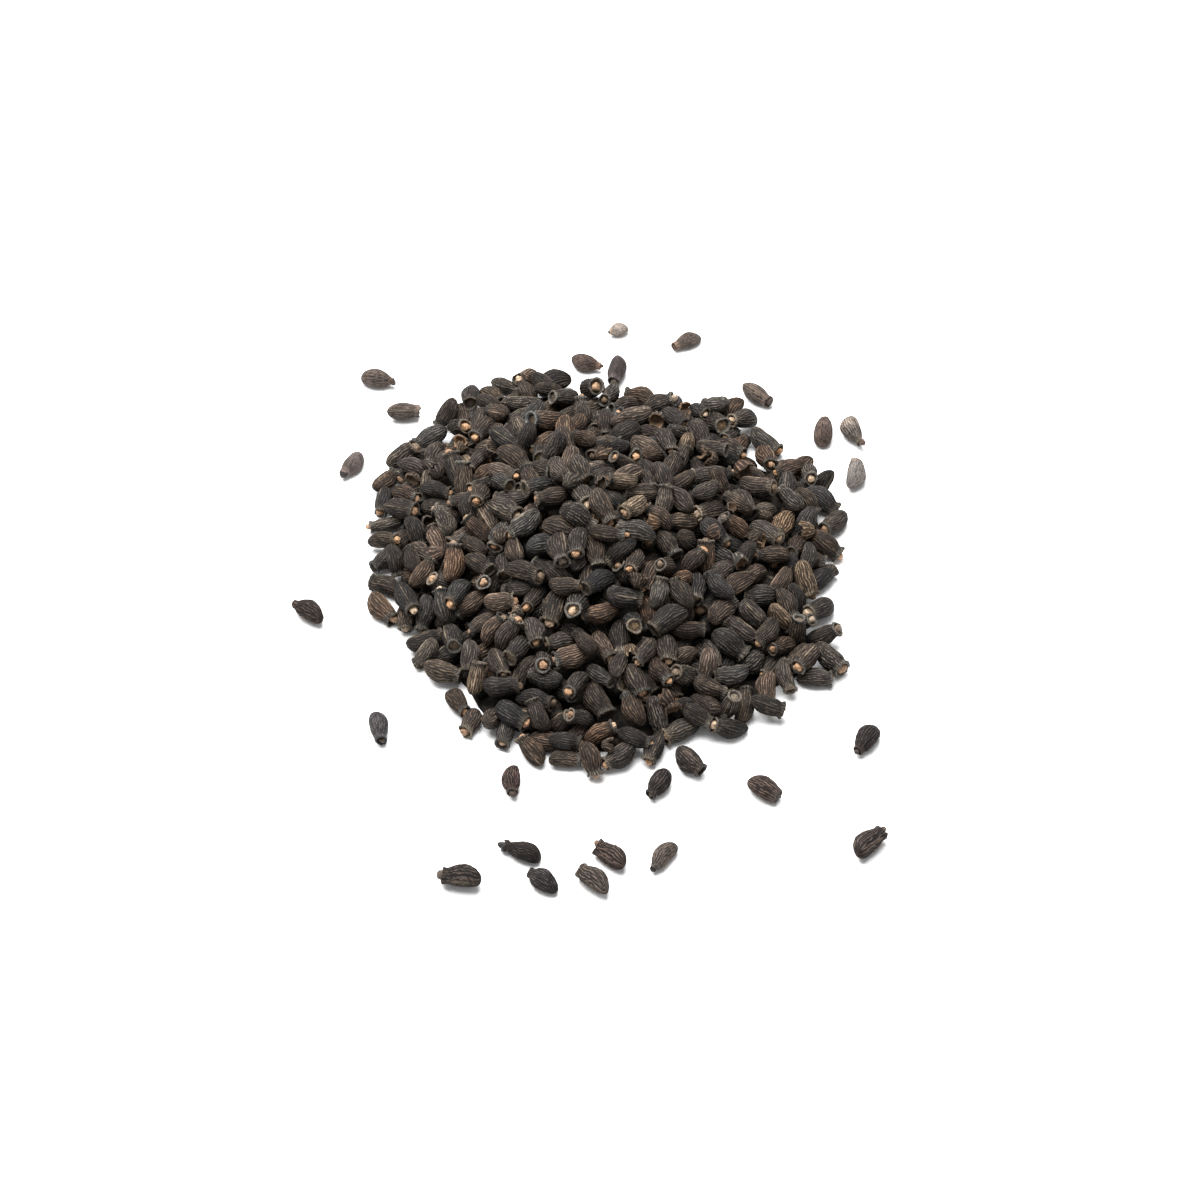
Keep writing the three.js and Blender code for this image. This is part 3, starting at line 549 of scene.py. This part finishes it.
looks = {
    "grey": plain | {"hull": (0.045, 0.037, 0.031)},
    "dark": plain | {"hull": (0.031, 0.025, 0.022), "collar": (0.044, 0.037, 0.03), "ribbing": 0.8,
                     "dustiness": 0.25},
    "brown": plain | {"hull": (0.056, 0.04, 0.03), "keel": 0.8, "dustiness": 0.35},
    "olive": plain | {"hull": (0.06, 0.048, 0.037), "collar": (0.058, 0.048, 0.036), "keel": 0.9,
                      "flare": 0.03, "dustiness": 0.5},
    "openCup": plain | {"hull": (0.046, 0.037, 0.03), "collar": (0.06, 0.051, 0.04), "plugged": 0.0,
                        "neck": 0.74, "flare": 0.01, "keel": 0.4},
    "slender": plain | {"hull": (0.05, 0.04, 0.032), "ribs": (18, 20), "ribbing": 1.15, "girth": 0.84,
                        "bow": 0.45, "tear": 0.015, "plugged": 0.6, "plugOut": 0.02},
    "torn": plain | {"hull": (0.046, 0.037, 0.032), "flare": 0.02, "tear": 0.035, "plugged": 0.7,
                     "keel": 0.9, "dents": 1.4, "bow": 0.15},
    "russet": plain | {"hull": (0.064, 0.043, 0.031), "collar": (0.053, 0.043, 0.034), "ribbing": 1.1,
                       "dustiness": 0.35},
    "crusted": plain | {"hull": (0.133, 0.089, 0.055), "collar": (0.086, 0.067, 0.046), "ribbing": 1.3,
                        "dents": 1.5, "bow": 0.2, "keel": 0.4,
                        "dustiness": 0.8, "dust": (0.27, 0.21, 0.15), "roughness": 0.75},
    "speckled": plain | {"hull": (0.043, 0.036, 0.03), "ribbing": 1.3, "dents": 1.4,
                         "dustiness": 0.9, "dust": (0.21, 0.18, 0.15), "roughness": 0.7},
    "bleached": plain | {"hull": (0.216, 0.181, 0.153), "ribbing": 0.6, "plugOut": -0.01,
                         "dustiness": 0.3, "dust": (0.34, 0.3, 0.25), "roughness": 0.75},
}

shading = {
    "plugs": ((0.5, 0.3, 0.17), (0.42, 0.26, 0.16), (0.54, 0.41, 0.29), (0.17, 0.12, 0.08)),
    "plugShares": (0.42, 0.24, 0.12, 0.22),
    "cupDisc": (0.155, 0.118, 0.078),
    # painted shade: the near-black colour of the inside of the cup
    "cupPaintedShade": (0.016, 0.013, 0.01),
    "keel": (0.17, 0.13, 0.09), "keelShare": (0.2, 0.8),
    "lipShine": 1.8,        # painted highlight: the lip is painted this much paler than the collar
    "shellLining": (0.13, 0.088, 0.056),
    "albedo": 0.79,         # every colour's share that the dry surfaces give back
    "deepest": 0.72,        # painted shade: how much darker the colour is painted at the deepest places
    "dimFrom": 0.8, "dimOver": 2.4,     # where the painted shade begins and over how far it deepens, in mm below the heap's surface
}


def varied(random, colour, spread):
    # brighter or darker by e^(random), and a little warmer or cooler
    warmth = spread * min(0.45, random.normal(0.12, 0.27))
    return np.array(colour) * math.exp(random.normal(0, spread)) * (1 + warmth, 1, 1 - warmth)


def seedColours(random, look, shades, plugged):
    # the hull's colour varies from seed to seed, the keel is paler, the lip has a painted highlight, and
    # the inside of the cup is painted dark as shade
    hull = varied(random, look["hull"], look["spread"])
    collar = varied(random, look["collar"], 0.2)
    zone, place = shades["zone"][:, None], shades["place"][:, None]
    toCollar = eased((place - 0.8) / 0.12)
    toNose = 1 - eased((place - 0.3) / 0.35)
    hull = blend(hull, look.get("nose", hull), toNose)
    colour = look["tone"] * blend(hull, collar, toCollar)
    keel = np.minimum(1, shades["keel"][:, None]) * random.uniform(*shading["keelShare"])
    colour = blend(colour, shading["keel"], keel)
    # painted highlight on the rim of the lip
    lip = np.clip((place - 0.97) / 0.03, 0, 1) * np.isin(zone, [1, 2])
    colour = colour * (1 + (shading["lipShine"] - 1) * lip)
    # painted shade: the inside of the cup is blended to near black, except at the lip
    colour = blend(colour, shading["cupPaintedShade"], (zone == 2) * (1 - lip))
    plug = shading["plugs"][random.choice(len(shading["plugs"]), p=shading["plugShares"])]
    filling, spread = (look.get("plug", plug), 0.18) if plugged else (shading["cupDisc"], 0.4)
    filling = varied(random, filling, spread)
    return np.where(zone == 3, filling, colour)


def placed(random, grid, shades, shape, colour, girth, seed):
    # the shape's points where it lies, its faces, and its colours, with painted shade that darkens them
    # with depth in the heap
    length, across = seedSize["length"] * seed["size"], seed["girth"] * girth / 2
    local = grid * (length, seedSize["width"] * across, seedSize["depth"] * across)
    points = turned(local, seed["roll"], seed["tilt"], seed["heading"]) + seed["at"]
    points[:, 2] += max(0, -points[:, 2].min())
    depth = surfaceHeight(points[:, 0], points[:, 1]) - points[:, 2]
    # painted shade: the deeper a point lies below the heap's surface, the darker its colour
    paintedShade = 1 - shading["deepest"] * eased((depth - shading["dimFrom"]) / shading["dimOver"])
    quads, triangles, quadZones, triangleZones = gridFaces(*shape, shades["zone"])
    return {
        "points": points,
        "own": local + random.uniform(-50, 50, 3),
        "ridge": shades["ridge"],
        "colour": shading["albedo"] * colour * paintedShade[:, None],
        "quads": quads, "triangles": triangles,
        "quadZones": quadZones, "triangleZones": triangleZones,
    }


def makeSeed(random, look, seed, fineness=1):
    grid, shades, shape, plugged = seedSurface(random, look, fineness)
    colour = seedColours(random, look, shades, plugged)
    return placed(random, grid, shades, shape, colour, look["girth"], seed)


def makeShell(random, look, seed):
    # a broken end of a seed: its nose up to a jagged break, and back inside at four fifths of the girth
    build = {"broadest": random.uniform(0.42, 0.5), "bluntness": random.uniform(0.5, 0.7),
             "shoulder": 2, "neck": 0.7, "convex": 0}
    cut = random.uniform(0.26, 0.42)
    outer = cut * eased(np.linspace(0.15, 1, 7)) ** 0.8
    place = np.concatenate([outer, outer[-2::-2]])[:, None]
    inside = np.arange(len(place))[:, None] >= len(outer)
    girth = bodyGirth(place, build) * np.where(inside, 0.8, 1)
    angle, relief, ridge = ribbed(random, look, place, 12, 2)
    jags = random.normal(0, 0.05, 12).repeat(2) + 0.05 * np.sin(2 * angle + random.uniform(0, 6))
    radius = girth * pressed(random, angle, place) + np.where(inside, 0, relief)
    along = place + jags * np.clip(place / cut, 0, 1) ** 3 + 0.04 * inside
    grid = np.stack([along - cut / 2, -radius * np.sin(angle), radius * np.cos(angle)], -1)
    zone = np.concatenate([[0], np.broadcast_to(2 * inside, ridge.shape).ravel(), [2]])
    ends = grid[0].mean(0) - (0.02, 0, 0), grid[-1].mean(0) - (0.01, 0, 0)
    colour = np.where(zone[:, None] == 2, varied(random, shading["shellLining"], 0.3),
                      varied(random, look["hull"], look["spread"]))
    shades = {"zone": zone, "ridge": np.concatenate([[0.6], ridge.ravel(), [0.6]])}
    grid = np.concatenate([ends[:1], grid.reshape(-1, 3), ends[1:]])
    return placed(random, grid, shades, ridge.shape, colour, 1, seed)


def intoScene(name, data):
    holder = bpy.data.objects.new(name, data)
    bpy.context.scene.collection.objects.link(holder)
    return holder


def standFor(node, piece):
    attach(piece, "root")
    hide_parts(node)


def joined(name, made, materials):
    # one mesh of many seeds: their arrays end to end, each seed's faces shifted by the points before it
    starts = np.cumsum([0] + [len(one["points"]) for one in made])
    points = np.concatenate([one["points"] for one in made]) * metresPerMm
    quads = np.concatenate([one["quads"] + start for one, start in zip(made, starts)])
    triangles = np.concatenate([one["triangles"] + start for one, start in zip(made, starts)])
    zones = np.concatenate([one["quadZones"] for one in made] + [one["triangleZones"] for one in made])
    mesh = bpy.data.meshes.new(name)
    mesh.vertices.add(len(points))
    mesh.vertices.foreach_set("co", points.astype(np.float32).ravel())
    corners = np.concatenate([quads.ravel(), triangles.ravel()])
    faceStarts = np.concatenate([4 * np.arange(len(quads)), 4 * len(quads) + 3 * np.arange(len(triangles))])
    mesh.loops.add(len(corners))
    mesh.loops.foreach_set("vertex_index", corners.astype(np.int32))
    mesh.polygons.add(len(faceStarts))
    mesh.polygons.foreach_set("loop_start", faceStarts.astype(np.int32))
    mesh.polygons.foreach_set("use_smooth", np.ones(len(faceStarts), bool))
    slots = np.array([0, 0, 1, 2])[zones]
    mesh.polygons.foreach_set("material_index", slots.astype(np.int32))
    for key, kind, field in (("ridge", "FLOAT", "value"), ("own", "FLOAT_VECTOR", "vector")):
        layer = mesh.attributes.new(key, kind, "POINT")
        layer.data.foreach_set(field, np.concatenate([one[key] for one in made]).astype(np.float32).ravel())
    colour = np.concatenate([one["colour"] for one in made])
    layer = mesh.attributes.new("colour", "FLOAT_COLOR", "POINT")
    layer.data.foreach_set("color", np.c_[colour, np.ones(len(colour))].astype(np.float32).ravel())
    mesh.update(calc_edges=True)
    mesh.validate()
    for material in materials:
        mesh.materials.append(material)
    return intoScene(name, mesh)


def newMaterial(name):
    material = bpy.data.materials.new(name)
    material.use_nodes = True
    return material, material.node_tree, material.node_tree.nodes["Principled BSDF"]


def setInputs(tree, node, inputs):
    # an input that comes from another node is linked, and any other is set
    for key, value in inputs.items():
        if isinstance(value, bpy.types.NodeSocket):
            tree.links.new(value, node.inputs[key])
        else:
            node.inputs[key].default_value = value


def addNode(tree, kind, inputs, **settings):
    node = tree.nodes.new(kind)
    for key, value in settings.items():
        setattr(node, key, value)
    setInputs(tree, node, inputs)
    return node.outputs


def noiseAt(tree, vector, scale, detail, stretch=(1, 1, 1)):
    # noise over the stretched vector
    stretched = addNode(tree, "ShaderNodeMapping", {"Vector": vector, "Scale": stretch})["Vector"]
    inputs = {"Vector": stretched, "Scale": scale, "Detail": detail}
    return addNode(tree, "ShaderNodeTexNoise", inputs)["Fac"]


def ranged(tree, value, fromLow, fromHigh, toLow, toHigh):
    # from one range to another, with soft ends
    inputs = {"Value": value, "From Min": fromLow, "From Max": fromHigh, "To Min": toLow, "To Max": toHigh}
    return addNode(tree, "ShaderNodeMapRange", inputs, interpolation_type="SMOOTHSTEP")["Result"]


def calculated(tree, operation, *values):
    return addNode(tree, "ShaderNodeMath", dict(enumerate(values)), operation=operation)["Value"]


def scaledColour(tree, colour, factor):
    return addNode(tree, "ShaderNodeVectorMath", {0: colour, "Scale": factor}, operation="SCALE")["Vector"]


def mixed(tree, share, first, second):
    # from the first colour to the second
    inputs = {"Factor": share, "A": first, "B": second}
    return addNode(tree, "ShaderNodeMix", inputs, data_type="RGBA")["Result"]


def attributeOf(tree, name):
    return addNode(tree, "ShaderNodeAttribute", {}, attribute_name=name)


def bumped(tree, height, distance, below={}):
    inputs = {"Height": height, "Distance": distance * metresPerMm} | below
    return addNode(tree, "ShaderNodeBump", inputs)["Normal"]


finish = {
    "grooveShade": 0.34,    # the grooves' and the crests' share of the hull's colour: partly the hull's own darker grooves and paler crests, partly painted shade in the grooves and a painted highlight on the crests
    "crestShade": 3.2,
    "breaking": 0.9,        # how much wrinkles and grain break up the ribs
    "graining": 0.85,
    "grooveHeight": 1.3,    # where grooves and crests lie once these are added
    "crestHeight": 2.02,
    "streakScale": 4.2,     # of the wrinkles along the ribs, per mm
    "grainScale": 6.5,      # of the fine warts
    "patchScale": 0.8,
    "specular": 0.18,
    "ribBump": 0.1,         # mm
    "grainBump": 0.05,
}


def hullMaterial(name, look):
    # dark in the broken grooves and pale on the crests, partly the hull's own colour and partly painted
    # shade and painted highlights, with dust where the grain is coarse
    material, tree, shader = newMaterial(name)
    own = attributeOf(tree, "own")["Vector"]
    wrinkles = noiseAt(tree, own, finish["streakScale"], 3, (0.3, 1, 1))
    grain = noiseAt(tree, own, finish["grainScale"], 3, (0.7, 1, 1))
    patches = noiseAt(tree, own, finish["patchScale"], 3)
    height = attributeOf(tree, "ridge")["Fac"]
    height = calculated(tree, "MULTIPLY_ADD", wrinkles, finish["breaking"], height)
    height = calculated(tree, "MULTIPLY_ADD", grain, finish["graining"], height)
    # painted shade in the grooves and painted highlight on the crests, over the hull's own darker grooves
    # and paler crests
    shade = ranged(tree, height, finish["grooveHeight"], finish["crestHeight"],
                   finish["grooveShade"], finish["crestShade"])
    colour = scaledColour(tree, attributeOf(tree, "colour")["Color"], shade)
    colour = scaledColour(tree, colour, ranged(tree, patches, 0.3, 0.7, 0.7, 1.3))
    dusty = ranged(tree, grain, 0.5, 0.7, 0, look["dustiness"])
    dusty = calculated(tree, "MULTIPLY", dusty, ranged(tree, height, 1.2, 1.8, 0, 1))
    normal = bumped(tree, ranged(tree, height, 0.8, 2.1, 0, 1), finish["ribBump"])
    setInputs(tree, shader, {
        "Base Color": mixed(tree, dusty, colour, (*look["dust"], 1)),
        "Roughness": ranged(tree, grain, 0.3, 0.7, look["roughness"] - 0.1, look["roughness"] + 0.18),
        "Specular IOR Level": finish["specular"],
        "Normal": bumped(tree, grain, finish["grainBump"], {"Normal": normal}),
    })
    return material


def paintedMaterial(name, scale, darkest, palest, roughness, bump):
    # the seed's own colour, mottled by noise from darkest to palest
    material, tree, shader = newMaterial(name)
    grain = noiseAt(tree, attributeOf(tree, "own")["Vector"], scale, 4)
    mottling = ranged(tree, grain, 0.32, 0.68, darkest, palest)
    setInputs(tree, shader, {
        "Base Color": scaledColour(tree, attributeOf(tree, "colour")["Color"], mottling),
        "Roughness": ranged(tree, grain, 0.3, 0.7, roughness, roughness + 0.2),
        "Specular IOR Level": 0.3,
        "Normal": bumped(tree, grain, bump),
    })
    return material


def coreMaterial():
    material, tree, shader = newMaterial("seeds in deep shade")
    grain = noiseAt(tree, addNode(tree, "ShaderNodeTexCoord", {})["Object"], 900, 4)
    setInputs(tree, shader, {
        "Base Color": mixed(tree, ranged(tree, grain, 0.35, 0.65, 0, 1), core["darkest"], core["palest"]),
        "Roughness": 0.85,
        "Specular IOR Level": 0.15,
        "Normal": bumped(tree, grain, 0.4),
    })
    return material


cup = paintedMaterial("cup lining", 4, 0.5, 1.4, 0.6, 0.04)
plug = paintedMaterial("pale plug", 3.4, 0.4, 1.2, 0.55, 0.14)
hulls = {name: hullMaterial(name + " hull", look) for name, look in looks.items()}
print("materials made")

# The heap: piece, looks, and share of the heap's seeds
kinds = [
    ("grey_seeds", "grey", 0.16),
    ("dark_seeds", "dark", 0.14),
    ("brown_seeds", "brown", 0.19),
    ("olive_seeds", "olive", 0.11),
    ("open_cup_seeds", "openCup", 0.12),
    ("slender_seeds", "slender", 0.06),
    ("torn_collar_seeds", "torn", 0.08),
    ("russet_seeds", "russet", 0.08),
    ("speckled_seeds", "speckled", 0.04),
    ("crusted_seeds", "crusted", 0.02),
]

laid = layHeap()
shown = [seed for seed, area in zip(laid, mostShown(laid)) if area >= showing["least"]]
print("seeds laid:", len(laid), "of which show:", len(shown))

sorting = np.random.default_rng(31)
sorts = sorting.choice(len(kinds), len(shown), p=[share for _, _, share in kinds])
# some of the seeds that point their collar away are turned end for end, since most collars show
for seed, chance in zip(shown, sorting.random(len(shown))):
    if math.sin(seed["heading"]) > 0.1 and chance < heap["turnedRound"]:
        seed["heading"] += math.pi
        seed["tilt"] *= -1
for index, (name, lookName, _) in enumerate(kinds):
    random = np.random.default_rng(100 + index)
    made = [makeSeed(random, looks[lookName], seed) for seed, sort in zip(shown, sorts) if sort == index]
    piece = joined(name, made, [hulls[lookName], cup, plug])
    standFor("seed_heap", piece)
    triangles = sum(2 * len(one["quads"]) + len(one["triangles"]) for one in made)
    print(name, len(made), "seeds", triangles, "triangles")

litter = {"shells": 34, "smallest": 0.75, "largest": 1.05}


def dropShells(random):
    # broken shells fall at random places and settle between the seeds
    balls = []
    for seed in laid:
        pose = (*seed["at"][:2], seed["heading"], seed["tilt"])
        x, y, lift, radius = ballsOf(seed["size"], seed["girth"], [pose])
        balls.append(np.stack([x[0], y[0], seed["at"][2] + lift[0], radius], 1))
    balls = np.concatenate(balls)
    made = []
    for _ in range(litter["shells"]):
        angle, out = random.uniform(0, 2 * np.pi), 0.85 * math.sqrt(random.random())
        start = (out * reach(angle) * math.cos(angle), out * reach(angle) * math.sin(angle),
                 random.uniform(0, 2 * np.pi), random.uniform(-0.6, 0.6))
        near = balls[np.hypot(balls[:, 0] - start[0], balls[:, 1] - start[1]) < 2 * seedSize["length"]]
        size = random.uniform(litter["smallest"], litter["largest"])
        pose, z, _ = settle(0.5 * size, 0.8 * size, start, near)
        lying = {"at": (pose[0], pose[1], z), "heading": pose[2], "tilt": pose[3],
                 "roll": random.uniform(0, 2 * np.pi), "size": size, "girth": size}
        made.append(makeShell(random, looks[random.choice(("brown", "russet", "crusted", "olive"))], lying))
    return made


shells = joined("broken_shells", dropShells(np.random.default_rng(61)), [hulls["brown"], cup, plug])
standFor("seed_heap", shells)
print("broken shells made:", litter["shells"])

core = {"sectors": 120, "rings": 44, "inset": 4.5, "leastHeight": 0.35, "sink": 0.4, "lump": 0.35,
        "darkest": (0.006, 0.005, 0.004, 1), "palest": (0.022, 0.018, 0.014, 1)}


def makeCore():
    # a mound a little under the laid seeds' bed, its height over rings of a disc, flat below
    angle = 2 * np.pi * np.arange(core["sectors"]) / core["sectors"]
    share = np.linspace(0, 1, core["rings"] + 1)[1:, None]
    x = share * (reach(angle) - core["inset"]) * np.cos(angle)
    y = share * (reach(angle) - core["inset"]) * np.sin(angle)
    lumps = core["lump"] * np.sin(1.9 * x + 1.2 * np.sin(0.9 * y)) * np.sin(1.7 * y + 1.1 * np.sin(1.1 * x))
    z = np.maximum(core["leastHeight"], bedHeight(x, y) - core["sink"] + lumps)
    top = np.stack([x, y, z], -1)
    under = top[-1] * (1, 1, 0)
    middle = [(0, 0, bedHeight(0.0, 0.0) - core["sink"])]
    points = np.concatenate([middle, top.reshape(-1, 3), under, [(0, 0, 0)]])
    here = 1 + np.arange((core["rings"] + 1) * core["sectors"]).reshape(core["rings"] + 1, -1)
    right = np.roll(here, -1, 1)
    quads = np.stack([here[:-1], here[1:], right[1:], right[:-1]], -1).reshape(-1, 4)
    fans = [(0, here[0, i], right[0, i]) for i in range(core["sectors"])]
    fans += [(right[-1, i], here[-1, i], len(points) - 1) for i in range(core["sectors"])]
    mesh = bpy.data.meshes.new("heap_core")
    faces = quads.tolist() + [tuple(map(int, fan)) for fan in fans]
    mesh.from_pydata((points * metresPerMm).tolist(), [], faces)
    mesh.polygons.foreach_set("use_smooth", np.ones(len(mesh.polygons), bool))
    mesh.materials.append(coreMaterial())
    return intoScene("heap_core", mesh)


standFor("seed_heap", makeCore())
print("core made")

# The stray seeds look a little less olive than the heap
strayTint = (1.03, 0.96, 1.03)
everyStray = {"spread": 0, "plugged": 1}
farStrays = everyStray | {"wear": 0.3}      # those beyond the heap look worn, those before it crisp
nearStrays = everyStray | {"ribbing": 1.35}

for number, stray in enumerate(strays, 1):
    node = f"stray_seed_{number:02d}"
    random = np.random.default_rng(500 + number)
    look = looks[stray["looks"]] | (farStrays if stray["at"][1] > 0 else nearStrays) | stray["but"]
    tint = 1 if stray["looks"] == "bleached" else np.array(strayTint)
    look["hull"] = np.array(look["hull"]) * tint
    look["collar"] = np.array(stray["but"].get("collar", look["hull"]))
    turn = math.pi if look.get("endForEnd") else 0
    lying = {"at": (0, 0, 0), "heading": math.radians(stray["heading"]) + turn, "tilt": 0,
             "roll": math.radians(stray["roll"]), "size": stray["size"], "girth": stray["size"]}
    one = makeSeed(random, look, lying, fineness=2)
    one["points"] += (*stray["at"], -one["points"][:, 2].min())
    piece = joined(node + "_piece", [one], [hulls[stray["looks"]], cup, plug])
    standFor(node, piece)
print("stray seeds made:", len(strays))

studio = {
    "floorColour": (0.93, 0.93, 0.93, 1),
    "floorReach": 1.5,                  # half width, in metres
    "skyColour": (1, 1, 1, 1),
    "skyStrength": 0.5,
    "lampHeight": 0.5, "lampSize": 0.5, "lampPower": 9.4,
    "lampPlace": (-0.1, 0.13),
}


def makeFloor():
    half = studio["floorReach"]
    mesh = bpy.data.meshes.new("floor")
    corners = [(-half, -half, 0), (half, -half, 0), (half, half, 0), (-half, half, 0)]
    mesh.from_pydata(corners, [], [(0, 1, 2, 3)])
    material, tree, shader = newMaterial("white floor")
    look = {"Base Color": studio["floorColour"], "Roughness": 0.9, "Specular IOR Level": 0.1}
    setInputs(tree, shader, look)
    mesh.materials.append(material)
    floor = intoScene("floor", mesh)


def makeLight():
    world = bpy.data.worlds.new("white studio")
    world.use_nodes = True
    setInputs(world.node_tree, world.node_tree.nodes["Background"],
              {"Color": studio["skyColour"], "Strength": studio["skyStrength"]})
    bpy.context.scene.world = world
    lamp = bpy.data.lights.new("soft lamp", "AREA")
    lamp.shape = "SQUARE"
    lamp.size = studio["lampSize"]
    lamp.energy = studio["lampPower"]
    holder = intoScene("soft lamp", lamp)
    x, y = studio["lampPlace"]
    holder.location = (x, y, studio["lampHeight"])
    holder.rotation_euler = (math.atan2(-y, studio["lampHeight"]), math.atan2(x, studio["lampHeight"]), 0)


view = {
    "lookAt": (-0.8, -4.5, 0),          # mm
    "distance": 445,
    "elevation": 50,
    "focalLength": 100.1,               # on a sensor 36 mm wide
}


def makeCamera():
    # looks along +Y and down, from the distance at which the photograph was taken
    data = bpy.data.cameras.new("camera")
    data.lens = view["focalLength"]
    data.sensor_width = 36
    data.clip_start = 0.01
    camera = intoScene("camera", data)
    down = math.radians(view["elevation"])
    away = np.array([0, -math.cos(down), math.sin(down)]) * view["distance"]
    camera.location = (np.array(view["lookAt"]) + away) * metresPerMm
    camera.rotation_euler = (math.pi / 2 - down, 0, 0)
    bpy.context.scene.camera = camera


makeFloor()
makeLight()
makeCamera()
bpy.context.scene.view_settings.view_transform = "Standard"
print("floor, light and camera made")
